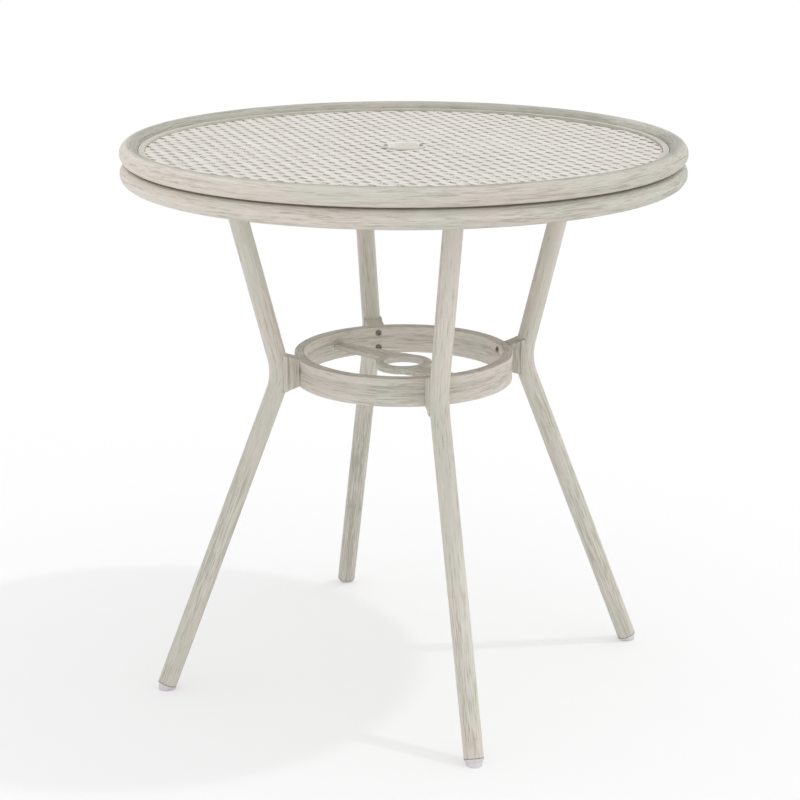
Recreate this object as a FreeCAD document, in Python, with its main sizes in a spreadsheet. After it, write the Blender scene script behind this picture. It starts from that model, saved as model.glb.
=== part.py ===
# Round outdoor umbrella table: a woven top in a double tube rim, four bent tube
# legs drawn in to a flat ring, and a pole hole in the top above a pole collar.
# Millimetres, +Z up. The origin is on the floor, under the middle of the table.
import FreeCAD, Part
import math
import os
import Sketcher

doc = FreeCAD.newDocument("umbrella_table")
sizes = doc.addObject("Spreadsheet::Sheet", "sizes")

DRIVING_SIZES = [
    # rim of the top: two hoops of round tube, one on the other, with a strip between
    ("table_diameter", 762.0),
    ("table_height", 762.0),
    ("rim_tube_od", 25.4),
    ("rim_tube_wall", 1.5),
    ("rim_gap", 1.4),
    ("rim_seam_width", 3.0),
    ("vent_diameter", 4.0),
    ("vent_count", 4),
    # frame of the woven panel: a stepped ring inside the upper hoop, with a hub
    # ring and four spokes under the weave
    ("panel_lip_width", 8.0),
    ("panel_lip_drop", 9.0),
    ("panel_frame_height", 16.0),
    ("panel_ledge_width", 7.0),
    ("panel_ledge_thick", 3.0),
    ("weave_drop", 3.0),
    ("weave_thick", 4.5),
    ("seat_clearance", 0.2),
    ("hub_ring_width", 10.0),
    ("spoke_width", 16.0),
    # sleeve in the pole hole
    ("pole_hole_diameter", 47.6),
    ("sleeve_wall", 1.8),
    ("sleeve_flange_diameter", 55.0),
    ("sleeve_flange_thick", 3.0),
    ("sleeve_lip_round", 1.2),
    ("sleeve_below_arms", 2.0),
    # arms under the top, of rectangular tube, with a hub ring and the leg plates
    ("arm_width", 30.0),
    ("arm_height", 24.0),
    ("arm_wall", 1.5),
    ("arm_hub_width", 14.0),
    ("arm_corner", 2.5),
    ("panel_screw_diameter", 4.0),
    ("panel_screw_head_diameter", 8.0),
    ("panel_screw_head_thick", 2.6),
    ("panel_screw_socket_flats", 2.5),
    ("panel_screw_socket_depth", 1.6),
    ("panel_screw_depth", 8.0),
    ("screw_clearance", 0.3),
    # legs of round tube: splayed down from the top, bent at the waist, splayed again
    ("leg_tube_od", 26.4),
    ("leg_tube_wall", 1.5),
    ("leg_top_radius", 240.7),
    ("leg_waist_radius", 176.8),
    ("leg_foot_radius", 346.7),
    ("leg_bend_height", 450.0),
    ("leg_bend_radius", 82.5),
    ("leg_end_height", 8.0),
    ("leg_plate_length", 78.0),
    ("leg_plate_width", 30.0),
    ("leg_plate_thick", 4.0),
    ("leg_plate_corner", 5.0),
    ("leg_bolt_spacing", 54.0),
    ("leg_bolt_diameter", 6.0),
    ("leg_bolt_length", 16.0),
    ("leg_bolt_head_flats", 10.0),
    ("leg_bolt_head_thick", 4.0),
    ("rivet_nut_diameter", 9.0),
    ("rivet_nut_length", 14.0),
    ("rivet_bulge_diameter", 11.6),
    ("rivet_bulge_height", 2.5),
    ("thread_clearance", 0.1),
    # glide in the foot of each leg
    ("glide_flange_diameter", 26.0),
    ("glide_flange_thick", 2.5),
    ("glide_neck_diameter", 23.0),
    ("glide_taper_length", 14.0),
    ("glide_sole_diameter", 16.0),
    ("glide_plug_length", 24.0),
    ("glide_plug_clearance", 0.15),
    ("glide_core_diameter", 15.0),
    # ring of flat tube round the waist, and the blocks that carry it
    ("ring_diameter", 302.0),
    ("ring_thick", 14.0),
    ("ring_height", 39.0),
    ("ring_bottom", 428.6),
    ("ring_wall", 1.5),
    ("ring_corner", 1.5),
    ("ring_step_drop", 11.0),
    ("ring_step_depth", 1.2),
    ("ring_screw_spacing", 21.4),
    ("ring_screw_diameter", 5.0),
    ("ring_screw_head_diameter", 9.0),
    ("ring_screw_head_thick", 2.8),
    ("ring_screw_head_rim", 0.6),
    ("ring_screw_socket_flats", 3.0),
    ("ring_screw_socket_depth", 1.6),
    ("ring_screw_reach", 22.0),
    ("block_width", 25.0),
    ("block_leg_height", 53.0),
    ("block_corner", 1.5),
    ("saddle_width", 27.2),
    ("saddle_thick", 6.8),
    ("saddle_set_back", 3.5),
    ("saddle_corner", 0.8),
    ("weld_gap", 0.05),
    # pole collar in the middle of the ring, on two flat tapered arms
    ("collar_hole_diameter", 54.0),
    ("collar_diameter", 78.0),
    ("collar_height", 9.3),
    ("collar_bottom", 442.7),
    ("collar_corner", 1.2),
    ("collar_arm_height", 7.0),
    ("collar_arm_lift", 2.0),
    ("collar_arm_turn_angle", 118.0),
    ("collar_arm_spread_angle", 5.6),
    ("collar_arm_front_angle", 10.0),
    ("collar_arm_back_angle", 60.0),
    ("collar_arm_tip", 0.5),
]

for row, (alias, value) in enumerate(DRIVING_SIZES, start=1):
    sizes.set("A%d" % row, alias)
    sizes.set("B%d" % row, str(value))
    sizes.setAlias("B%d" % row, alias)
doc.recompute()

# Lengths closer than this count as the same when edges are picked by their place.
SAME = 0.01
LEG_COUNT = 4
ALIASES = [alias for alias, value in DRIVING_SIZES]


def bound(text):
    """The text with each size's name made a reference to its cell."""
    words = []
    for word in text.replace("(", "( ").replace(")", " )").split():
        words.append("sizes." + word if word in ALIASES else word)
    return " ".join(words)


def number(text):
    """The value of an expression on the driving sizes."""
    return float(sizes.evalExpression(bound(text)))


def bind(thing, prop, text):
    thing.setExpression(prop, bound(text))


# Heights and radii that several pieces share, each worked out from the sizes.
RIM_RADIUS = "(table_diameter - rim_tube_od) / 2"
UPPER_RIM_Z = "(table_height - rim_tube_od / 2)"
LOWER_RIM_Z = "(table_height - rim_tube_od * 1.5 - rim_gap)"
LIP_TOP = "(table_height - panel_lip_drop)"
LIP_OUTSIDE = "(table_diameter / 2 - rim_tube_od - seat_clearance)"
LIP_INSIDE = "(table_diameter / 2 - rim_tube_od - seat_clearance - panel_lip_width)"
FRAME_BOTTOM = "(table_height - panel_lip_drop - panel_frame_height)"
WEAVE_TOP = "(table_height - panel_lip_drop - weave_drop)"
WEAVE_BOTTOM = "(table_height - panel_lip_drop - weave_drop - weave_thick)"
SLEEVE_OUTSIDE = "(pole_hole_diameter / 2 + sleeve_wall)"
HUB_INSIDE = "(pole_hole_diameter / 2 + sleeve_wall + seat_clearance)"
ARM_BOTTOM = "(table_height - panel_lip_drop - panel_frame_height - arm_height)"
ARM_END = "(table_diameter / 2 - rim_tube_od - seat_clearance)"
ARM_HUB_OUTSIDE = "(pole_hole_diameter / 2 + sleeve_wall + seat_clearance + arm_hub_width)"
PANEL_SCREW_RADIUS = "(table_diameter / 2 - rim_tube_od - seat_clearance - panel_lip_width / 2)"
RING_OUTSIDE = "(ring_diameter / 2)"
RING_INSIDE = "(ring_diameter / 2 - ring_thick)"
RING_MIDDLE = "(ring_bottom + ring_height / 2)"
SPOKE_TOP = WEAVE_BOTTOM
PLATE_BOTTOM = "(table_height - panel_lip_drop - panel_frame_height - arm_height - leg_plate_thick)"
SADDLE_END = "(leg_waist_radius - saddle_set_back)"
COLLAR_ARM_BOTTOM = "(collar_bottom + collar_arm_lift)"
HEAD_REACH = "(ring_diameter / 2 - ring_thick) ^ 2 - (ring_screw_head_diameter / 2) ^ 2"
SCREW_SEAT = "(sqrt(%s) - seat_clearance)" % HEAD_REACH
BEND_CENTRE = "(leg_waist_radius + leg_bend_radius)"
BEND_TO_FOOT = "(leg_foot_radius - leg_waist_radius - leg_bend_radius)"
FOOT_REACH = "sqrt(%s ^ 2 + leg_bend_height ^ 2)" % BEND_TO_FOOT
FOOT_PARTS = (BEND_TO_FOOT, FOOT_REACH)
FOOT_LEAN = "(atan(%s / leg_bend_height) + asin(leg_bend_radius / %s))" % FOOT_PARTS
LEG_END = "(leg_foot_radius - tan(%s) * leg_end_height)" % FOOT_LEAN

UPRIGHT = FreeCAD.Rotation(FreeCAD.Vector(0, 0, 1), 0)
ALONG_X = FreeCAD.Rotation(FreeCAD.Vector(0, 1, 0), 90)


def about_z(degrees):
    """A placement that turns a piece about the table's own axis."""
    turn = FreeCAD.Rotation(FreeCAD.Vector(0, 0, 1), degrees)
    return FreeCAD.Placement(FreeCAD.Vector(0, 0, 0), turn)


def quarter_turns():
    return [(k + 1, 360.0 / LEG_COUNT * k) for k in range(LEG_COUNT)]


def seat(solid, x, y, z, turn=UPRIGHT):
    solid.Placement = FreeCAD.Placement(FreeCAD.Vector(0, 0, 0), turn)
    for axis, text in zip("xyz", (x, y, z)):
        if text != "0":
            bind(solid, "Placement.Base." + axis, text)


def box(name, low, span):
    """A box from its low corner and its three lengths."""
    solid = doc.addObject("Part::Box", name)
    for prop, text in zip(("Length", "Width", "Height"), span):
        bind(solid, prop, text)
    seat(solid, *low)
    return solid


def cylinder(name, radius, height, x="0", y="0", z="0", turn=UPRIGHT):
    solid = doc.addObject("Part::Cylinder", name)
    bind(solid, "Radius", radius)
    bind(solid, "Height", height)
    seat(solid, x, y, z, turn)
    return solid


def hexagon(name, flats, height, x="0", y="0", z="0", turn=UPRIGHT):
    """A six-sided prism, given its size across the flats."""
    solid = doc.addObject("Part::Prism", name)
    solid.Polygon = 6
    bind(solid, "Circumradius", "%s / 2 / cos(30)" % flats)
    bind(solid, "Height", height)
    seat(solid, x, y, z, turn)
    return solid


def join(name, solids):
    if len(solids) == 1:
        return solids[0]
    whole = doc.addObject("Part::MultiFuse", name)
    whole.Shapes = solids
    return whole


def cut(name, solid, tools):
    piece = doc.addObject("Part::Cut", name)
    piece.Base = solid
    piece.Tool = join(name + "_tools", tools)
    return piece


def group(name, solids):
    """Separate like solids kept as one piece of the parts list."""
    piece = doc.addObject("Part::Compound", name)
    piece.Links = solids
    return piece


def new_body(name):
    body = doc.addObject("PartDesign::Body", name)
    body.Label = name
    return body


def origin_feature(body, role):
    return next(f for f in body.Origin.OriginFeatures if f.Role == role)


def sketch_on(body, name, role, offset=None):
    sketch = body.newObject("Sketcher::SketchObject", name)
    sketch.AttachmentSupport = [(origin_feature(body, role), "")]
    sketch.MapMode = "FlatFace"
    if offset:
        bind(sketch, "AttachmentOffset.Base.z", offset)
    return sketch


def hold(sketch, geometry, point, x, y):
    """Fixes a point of a sketch at a place given by two expressions."""
    for kind, text, axis in (("DistanceX", x, -2), ("DistanceY", y, -1)):
        if text == "0":
            sketch.addConstraint(Sketcher.Constraint("PointOnObject", geometry, point, axis))
            continue
        rule = Sketcher.Constraint(kind, -1, 1, geometry, point, number(text))
        index = sketch.addConstraint(rule)
        bind(sketch, "Constraints[%d]" % index, text)


def radius_rule(sketch, geometry, text):
    index = sketch.addConstraint(Sketcher.Constraint("Radius", geometry, number(text)))
    bind(sketch, "Constraints[%d]" % index, text)


def outline(sketch, corners):
    """A closed outline of straight lines through the corners."""
    first = sketch.GeometryCount
    spots = [FreeCAD.Vector(number(x), number(y), 0) for x, y in corners]
    count = len(spots)
    for i in range(count):
        sketch.addGeometry(Part.LineSegment(spots[i], spots[(i + 1) % count]), False)
    for i in range(count):
        following = first + (i + 1) % count
        sketch.addConstraint(Sketcher.Constraint("Coincident", first + i, 2, following, 1))
    for i, (x, y) in enumerate(corners):
        hold(sketch, first + i, 1, x, y)


def circle(sketch, x, y, radius):
    spot = FreeCAD.Vector(number(x), number(y), 0)
    up = FreeCAD.Vector(0, 0, 1)
    index = sketch.addGeometry(Part.Circle(spot, up, number(radius)), False)
    hold(sketch, index, 3, x, y)
    radius_rule(sketch, index, radius)


def revolve(body, sketch):
    turned = body.newObject("PartDesign::Revolution", body.Name + "_turned")
    turned.Profile = sketch
    turned.ReferenceAxis = (origin_feature(body, "Z_Axis"), [""])
    turned.Angle = 360.0
    doc.recompute()
    return turned


def drill_round(body, name, radius, height, x, z, turn=UPRIGHT):
    """A round hole cut from a body, with its axis through the sketch plane Y = 0."""
    hole = body.newObject("PartDesign::SubtractiveCylinder", name)
    bind(hole, "Radius", radius)
    bind(hole, "Height", height)
    seat(hole, x, "0", z, turn)
    doc.recompute()
    return hole


def flat_edges(shape, test):
    """The names of a shape's edges that pass a test."""
    edges = enumerate(shape.Edges, start=1)
    return ["Edge%d" % index for index, edge in edges if test(edge.BoundBox)]


def round_off(body, base, names, radius):
    fillet = body.newObject("PartDesign::Fillet", body.Name + "_rounded")
    fillet.Base = (base, names)
    bind(fillet, "Radius", radius)
    doc.recompute()
    return fillet


def pad(body, sketch, length):
    feature = body.newObject("PartDesign::Pad", body.Name + "_pad")
    feature.Profile = sketch
    bind(feature, "Length", length)
    doc.recompute()
    return feature


def cut_box(body, name, low, span):
    hollow = body.newObject("PartDesign::SubtractiveBox", name)
    for prop, text in zip(("Length", "Width", "Height"), span):
        bind(hollow, prop, text)
    seat(hollow, *low)
    doc.recompute()
    return hollow


def repeat_round(body, feature, count):
    """The feature repeated about the table's axis."""
    pattern = body.newObject("PartDesign::PolarPattern", feature.Name + "_round")
    pattern.Originals = [feature]
    pattern.Axis = (origin_feature(body, "Z_Axis"), [""])
    pattern.Angle = 360.0
    pattern.Occurrences = count
    body.Tip = pattern
    doc.recompute()
    return pattern


pieces = []


def keep(piece, name, degrees=0.0):
    """Lists a finished sub-part, turned to its place round the table."""
    piece.Label = name
    piece.Placement = about_z(degrees)
    pieces.append(piece)


# Rim hoops: rolled round tube, welded shut, with small vent holes underneath.
def rim_hoop(name, height):
    body = new_body(name)
    section = sketch_on(body, name + "_section", "XZ_Plane")
    circle(section, RIM_RADIUS, height, "rim_tube_od / 2")
    circle(section, RIM_RADIUS, height, "rim_tube_od / 2 - rim_tube_wall")
    revolve(body, section)
    low = "%s - rim_tube_od" % height
    vent = drill_round(body, name + "_vent", "vent_diameter / 2", "rim_tube_od", RIM_RADIUS, low)
    repeat_round(body, vent, int(number("vent_count")))
    keep(body, name)


rim_hoop("upper_rim_ring", UPPER_RIM_Z)
rim_hoop("lower_rim_ring", LOWER_RIM_Z)


# Frame of the woven panel: a stepped ring whose top shows as a flat lip inside the
# upper hoop. The strands lie on its ledge.
def panel_frame_ring():
    name = "panel_frame_ring"
    body = new_body(name)
    section = sketch_on(body, name + "_section", "XZ_Plane")
    ledge_inside = "%s - panel_ledge_width" % LIP_INSIDE
    ledge_bottom = "%s - panel_ledge_thick" % WEAVE_BOTTOM
    outline(section, [
        (LIP_OUTSIDE, FRAME_BOTTOM),
        (LIP_OUTSIDE, LIP_TOP),
        (LIP_INSIDE, LIP_TOP),
        (LIP_INSIDE, WEAVE_BOTTOM),
        (ledge_inside, WEAVE_BOTTOM),
        (ledge_inside, ledge_bottom),
        (LIP_INSIDE, ledge_bottom),
        (LIP_INSIDE, FRAME_BOTTOM),
    ])
    revolve(body, section)
    radius = "panel_screw_diameter / 2 + thread_clearance"
    depth = "panel_screw_depth + screw_clearance"
    spot = PANEL_SCREW_RADIUS
    hole = drill_round(body, name + "_hole", radius, depth, spot, FRAME_BOTTOM)
    repeat_round(body, hole, LEG_COUNT)
    keep(body, name)


panel_frame_ring()


# Ring pieces with a plain rectangular section: the strip in the seam of the rim, the
# hub rings and the woven panel.
def flat_ring(name, inside, outside, low, height):
    outer = cylinder(name + "_outer", outside, height, z=low)
    inner = cylinder(name + "_inner", inside, height, z=low)
    keep(cut(name, outer, [inner]), name)


flat_ring(
    "rim_seam_ring",
    "%s - rim_seam_width / 2" % RIM_RADIUS,
    "%s + rim_seam_width / 2" % RIM_RADIUS,
    "%s + rim_tube_od / 2 + weld_gap" % LOWER_RIM_Z,
    "rim_gap - weld_gap * 2",
)
flat_ring(
    "panel_hub_ring",
    HUB_INSIDE,
    "%s + hub_ring_width" % HUB_INSIDE,
    FRAME_BOTTOM,
    "%s - %s" % (SPOKE_TOP, FRAME_BOTTOM),
)
flat_ring(
    "arm_hub_ring",
    HUB_INSIDE,
    ARM_HUB_OUTSIDE,
    ARM_BOTTOM,
    "arm_height",
)
flat_ring(
    "woven_top_panel",
    HUB_INSIDE,
    "%s - seat_clearance" % LIP_INSIDE,
    WEAVE_BOTTOM,
    "weave_thick",
)


# Spokes under the weave, half way between the legs.
def panel_spoke(name, degrees):
    start = "pole_hole_diameter / 2"
    end = "%s - weld_gap" % LIP_INSIDE
    length = "%s - %s" % (end, start)
    height = "%s - %s" % (SPOKE_TOP, FRAME_BOTTOM)
    low = (start, "0 - spoke_width / 2", FRAME_BOTTOM)
    bar = box(name + "_bar", low, (length, "spoke_width", height))
    hub = "%s + hub_ring_width + weld_gap" % HUB_INSIDE
    hub_space = cylinder(name + "_hub_space", hub, "table_height")
    ledge_low = "%s - panel_ledge_thick - weld_gap" % WEAVE_BOTTOM
    ledge_tall = "panel_ledge_thick + weld_gap * 2"
    ledge_outer = cylinder(name + "_ledge_outer", "table_diameter", ledge_tall, z=ledge_low)
    ledge_radius = "%s - panel_ledge_width - weld_gap" % LIP_INSIDE
    ledge_inner = cylinder(name + "_ledge_inner", ledge_radius, ledge_tall, z=ledge_low)
    ledge_space = cut(name + "_ledge_space", ledge_outer, [ledge_inner])
    wall_space = cylinder(name + "_reach", end, "table_height")
    trimmed = doc.addObject("Part::Common", name + "_trimmed")
    trimmed.Base = bar
    trimmed.Tool = wall_space
    keep(cut(name, trimmed, [hub_space, ledge_space]), name, degrees)


for place, degrees in quarter_turns():
    panel_spoke("panel_spoke_%d" % place, degrees + 45.0)


# Sleeve that lines the pole hole: a plastic tube with a rounded flange on the weave.
def pole_hole_sleeve():
    name = "pole_hole_sleeve"
    body = new_body(name)
    section = sketch_on(body, name + "_section", "XZ_Plane")
    inside = "pole_hole_diameter / 2"
    flange = "sleeve_flange_diameter / 2"
    flange_top = "%s + sleeve_flange_thick" % WEAVE_TOP
    low = "%s - sleeve_below_arms" % ARM_BOTTOM
    outline(section, [
        (inside, low),
        (inside, flange_top),
        (flange, flange_top),
        (flange, WEAVE_TOP),
        (SLEEVE_OUTSIDE, WEAVE_TOP),
        (SLEEVE_OUTSIDE, low),
    ])
    turned = revolve(body, section)
    top = number(flange_top) - SAME
    rims = flat_edges(turned.Shape, lambda b: b.ZLength < SAME and b.ZMax > top)
    round_off(body, turned, rims, "sleeve_lip_round")
    keep(body, name)


pole_hole_sleeve()


# Arms under the top, of rectangular tube: from the hub ring out to the lower hoop.
# Rivet nuts for the leg bolts sit in the bottom wall, and a screw goes up through
# the outer end into the panel frame.
def support_arm(name, degrees):
    body = new_body(name)
    end = "sqrt(%s ^ 2 - (arm_width / 2) ^ 2)" % ARM_END
    inside = "arm_width / 2 - arm_wall"
    section = sketch_on(body, name + "_section", "YZ_Plane")
    outline(section, [
        ("0 - arm_width / 2", ARM_BOTTOM),
        ("arm_width / 2", ARM_BOTTOM),
        ("arm_width / 2", FRAME_BOTTOM),
        ("0 - arm_width / 2", FRAME_BOTTOM),
    ])
    bar = pad(body, section, end)
    long_edges = flat_edges(bar.Shape, lambda b: b.YLength < SAME and b.ZLength < SAME)
    round_off(body, bar, long_edges, "arm_corner")
    low = ("0", "0 - (%s)" % inside, "%s + arm_wall" % ARM_BOTTOM)
    hollow_height = "arm_height - arm_wall * 2"
    cut_box(body, name + "_hollow", low, (end, "(%s) * 2" % inside, hollow_height))
    hub = "%s + weld_gap" % ARM_HUB_OUTSIDE
    drill_round(body, name + "_hub", hub, "arm_height", "0", ARM_BOTTOM)
    nut = "rivet_nut_diameter / 2 + screw_clearance / 2"
    for side, sign in (("inner", "-"), ("outer", "+")):
        spot = "leg_top_radius %s leg_bolt_spacing / 2" % sign
        drill_round(body, "%s_%s_nut" % (name, side), nut, "arm_wall", spot, ARM_BOTTOM)
    screw = "panel_screw_diameter / 2 + screw_clearance"
    drill_round(body, name + "_screw", screw, "arm_height", PANEL_SCREW_RADIUS, ARM_BOTTOM)
    keep(body, name, degrees)


# Flat plate welded on the top of each leg and bolted under its arm.
def leg_top_plate(name, degrees):
    body = new_body(name)
    section = sketch_on(body, name + "_section", "XY_Plane", PLATE_BOTTOM)
    near = "leg_top_radius - leg_plate_length / 2"
    far = "leg_top_radius + leg_plate_length / 2"
    outline(section, [
        (near, "0 - leg_plate_width / 2"),
        (far, "0 - leg_plate_width / 2"),
        (far, "leg_plate_width / 2"),
        (near, "leg_plate_width / 2"),
    ])
    for sign in "-+":
        spot = "leg_top_radius %s leg_bolt_spacing / 2" % sign
        circle(section, spot, "0", "leg_bolt_diameter / 2 + screw_clearance")
    plate = pad(body, section, "leg_plate_thick")
    plate_thick = number("leg_plate_thick")
    corners = flat_edges(
        plate.Shape,
        lambda b: b.XLength + b.YLength < SAME and abs(b.ZLength - plate_thick) < SAME
        and abs(b.YMax) > number("leg_plate_width") / 2 - SAME,
    )
    round_off(body, plate, corners, "leg_plate_corner")
    keep(body, name, degrees)


# Leg of round tube with one bend, made from the point of the bend where the tube is
# upright: one run up to the plate and one down to the foot.
def leg_run(body, kind, name, section, reach, end):
    """A pipe along one run of the leg: round the bend, then straight to its end."""
    path = sketch_on(body, name + "_path", "XZ_Plane")
    radius = number("leg_bend_radius")
    centre = FreeCAD.Vector(number(BEND_CENTRE), number("leg_bend_height"), 0)
    finish = FreeCAD.Vector(number(reach), number(end), 0)
    away = finish - centre
    goes_up = away.y > 0
    swing = math.acos(radius / away.Length) * (1 if goes_up else -1)
    turned = math.atan2(away.y, away.x) % (math.pi * 2) + swing
    low, high = sorted((math.pi, turned))
    corner = centre + FreeCAD.Vector(math.cos(turned), math.sin(turned), 0) * radius
    whole = Part.Circle(centre, FreeCAD.Vector(0, 0, 1), radius)
    path.addGeometry(Part.ArcOfCircle(whole, low, high), False)
    path.addGeometry(Part.LineSegment(corner, finish), False)
    at_waist, at_run = (2, 1) if goes_up else (1, 2)
    hold(path, 0, 3, BEND_CENTRE, "leg_bend_height")
    hold(path, 0, at_waist, "leg_waist_radius", "leg_bend_height")
    path.addConstraint(Sketcher.Constraint("Tangent", 0, at_run, 1, 1))
    hold(path, 1, 2, reach, end)
    doc.recompute()
    pipe = body.newObject("PartDesign::" + kind, name)
    pipe.Profile = section
    pipe.Spine = (path, [])
    doc.recompute()


def along_both_runs(body, kind, name, section):
    leg_run(body, kind, name + "_up", section, "leg_top_radius", ARM_BOTTOM)
    leg_run(body, kind, name + "_down", section, LEG_END, "leg_end_height")


def leg_tube(name, degrees):
    body = new_body(name)
    section = sketch_on(body, name + "_section", "XY_Plane", "leg_bend_height")
    circle(section, "leg_waist_radius", "0", "leg_tube_od / 2")
    circle(section, "leg_waist_radius", "0", "leg_tube_od / 2 - leg_tube_wall")
    along_both_runs(body, "AdditivePipe", name, section)
    low = ("0", "0 - table_diameter / 2", "%s - weld_gap" % PLATE_BOTTOM)
    cut_box(body, name + "_top_cut", low, ("table_diameter", "table_diameter", "arm_height"))
    keep(body, name, degrees)


# Plastic glide in the foot of each leg: a plug with a bore, a thin flange against
# the end of the tube, and a taper cut flat where it stands on the floor.
def along_leg(solid, distance):
    """Seats a round solid on the lower leg's axis, so far up from the tube's end."""
    solid.Placement = FreeCAD.Placement(
        FreeCAD.Vector(0, 0, 0), FreeCAD.Rotation(FreeCAD.Vector(0, -1, 0), number(FOOT_LEAN))
    )
    bind(solid, "Placement.Base.x", "%s - (%s) * sin(%s)" % (LEG_END, distance, FOOT_LEAN))
    bind(solid, "Placement.Base.z", "leg_end_height + (%s) * cos(%s)" % (distance, FOOT_LEAN))
    bind(solid, "Placement.Rotation.Angle", FOOT_LEAN)


def foot_glide(name, degrees):
    bore = "leg_tube_od / 2 - leg_tube_wall - glide_plug_clearance"
    plug = cylinder(name + "_plug", bore, "glide_plug_length")
    along_leg(plug, "0")
    flange = cylinder(name + "_flange", "glide_flange_diameter / 2", "glide_flange_thick")
    along_leg(flange, "0 - glide_flange_thick")
    taper = doc.addObject("Part::Cone", name + "_taper")
    bind(taper, "Radius1", "glide_sole_diameter / 2")
    bind(taper, "Radius2", "glide_neck_diameter / 2")
    bind(taper, "Height", "glide_taper_length")
    along_leg(taper, "0 - glide_flange_thick - glide_taper_length")
    core = cylinder(name + "_core", "glide_core_diameter / 2", "glide_plug_length")
    along_leg(core, "0")
    whole = join(name + "_whole", [plug, flange, taper])
    low = ("0", "0 - table_diameter / 2", "0 - glide_taper_length * 2")
    floor = box(name + "_floor", low, ("table_diameter", "table_diameter", "glide_taper_length * 2"))
    keep(cut(name, whole, [core, floor]), name, degrees)


# Block between the ring and each leg: as high as the ring at its inner end, flared to
# a saddle round the tube at the other, with two threaded holes.
def block_half_height(radius):
    rise = "(block_leg_height - ring_height) / 2"
    run = "(%s - %s)" % (SADDLE_END, RING_OUTSIDE)
    return "(ring_height / 2 + %s * (%s - %s) / %s)" % (rise, radius, RING_OUTSIDE, run)


def side_outline(body, name, width, stations):
    """A sketch of a side of the block, through two corners at each station."""
    sketch = sketch_on(body, name, "XZ_Plane", "0 - %s / 2" % width)
    low = [(x, "%s - %s" % (RING_MIDDLE, half)) for x, half in stations]
    high = [(x, "%s + %s" % (RING_MIDDLE, half)) for x, half in stations]
    outline(sketch, low + high[::-1])
    return sketch


def leg_block(name, degrees):
    body = new_body(name)
    leg_end = (SADDLE_END, "block_leg_height / 2")
    neck = side_outline(body, name + "_neck", "block_width", [
        (RING_INSIDE, "ring_height / 2"),
        (RING_OUTSIDE, "ring_height / 2"),
        leg_end,
    ])
    block = pad(body, neck, "block_width")
    long_edges = flat_edges(block.Shape, lambda b: b.YLength < SAME and b.XLength > SAME)
    round_off(body, block, long_edges, "block_corner")
    start = "(%s - saddle_thick)" % SADDLE_END
    saddle = side_outline(body, name + "_saddle", "saddle_width", [
        (start, block_half_height(start)),
        leg_end,
    ])
    reach = number("saddle_width") / 2
    block = pad(body, saddle, "saddle_width")
    edges = flat_edges(block.Shape, lambda b: abs(abs(b.YMin + b.YMax) / 2 - reach) < SAME)
    round_off(body, block, edges, "saddle_corner")
    middle = "%s - block_leg_height / 2" % RING_MIDDLE
    ring = "%s + weld_gap" % RING_OUTSIDE
    drill_round(body, name + "_ring_seat", ring, "block_leg_height", "0", middle)
    tube = sketch_on(body, name + "_tube", "XY_Plane", "leg_bend_height")
    circle(tube, "leg_waist_radius", "0", "leg_tube_od / 2 + weld_gap")
    along_both_runs(body, "SubtractivePipe", name + "_tube_seat", tube)
    thread = "ring_screw_diameter / 2 + thread_clearance"
    depth = "ring_screw_reach + screw_clearance"
    for side, sign in (("low", "-"), ("high", "+")):
        spot = "%s %s ring_screw_spacing / 2" % (RING_MIDDLE, sign)
        drill_round(body, "%s_%s_hole" % (name, side), thread, depth, RING_INSIDE, spot, ALONG_X)
    keep(body, name, degrees)


for place, degrees in quarter_turns():
    support_arm("support_arm_%d" % place, degrees)
    leg_top_plate("leg_top_plate_%d" % place, degrees)
    leg_tube("leg_tube_%d" % place, degrees)
    foot_glide("foot_glide_%d" % place, degrees)
    leg_block("leg_block_%d" % place, degrees)


# Screws up through the arms into the panel frame, with hexagon sockets.
def panel_screw(name):
    x = PANEL_SCREW_RADIUS
    low = "%s - panel_screw_head_thick" % ARM_BOTTOM
    head = cylinder(name + "_head", "panel_screw_head_diameter / 2", "panel_screw_head_thick", x, "0", low)
    length = "arm_height + panel_screw_depth"
    shank = cylinder(name + "_shank", "panel_screw_diameter / 2", length, x, "0", ARM_BOTTOM)
    flats = "panel_screw_socket_flats"
    socket = hexagon(name + "_socket", flats, "panel_screw_socket_depth", x, "0", low)
    return cut(name, join(name + "_whole", [head, shank]), [socket])


# Hex bolts up through the leg plates into the rivet nuts, and the nuts themselves.
def leg_bolt(name, x):
    low = "%s - leg_bolt_head_thick" % PLATE_BOTTOM
    head = hexagon(name + "_head", "leg_bolt_head_flats", "leg_bolt_head_thick", x, "0", low)
    shank = cylinder(name + "_shank", "leg_bolt_diameter / 2", "leg_bolt_length", x, "0", PLATE_BOTTOM)
    return join(name, [head, shank])


def rivet_nut(name, x):
    nut = cylinder(name + "_sleeve", "rivet_nut_diameter / 2", "rivet_nut_length", x, "0", ARM_BOTTOM)
    seat_z = "%s + arm_wall" % ARM_BOTTOM
    bulge = cylinder(name + "_bulge", "rivet_bulge_diameter / 2", "rivet_bulge_height", x, "0", seat_z)
    thread = "leg_bolt_diameter / 2 + thread_clearance"
    bore = cylinder(name + "_bore", thread, "rivet_nut_length", x, "0", ARM_BOTTOM)
    return cut(name, join(name + "_whole", [nut, bulge]), [bore])


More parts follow.
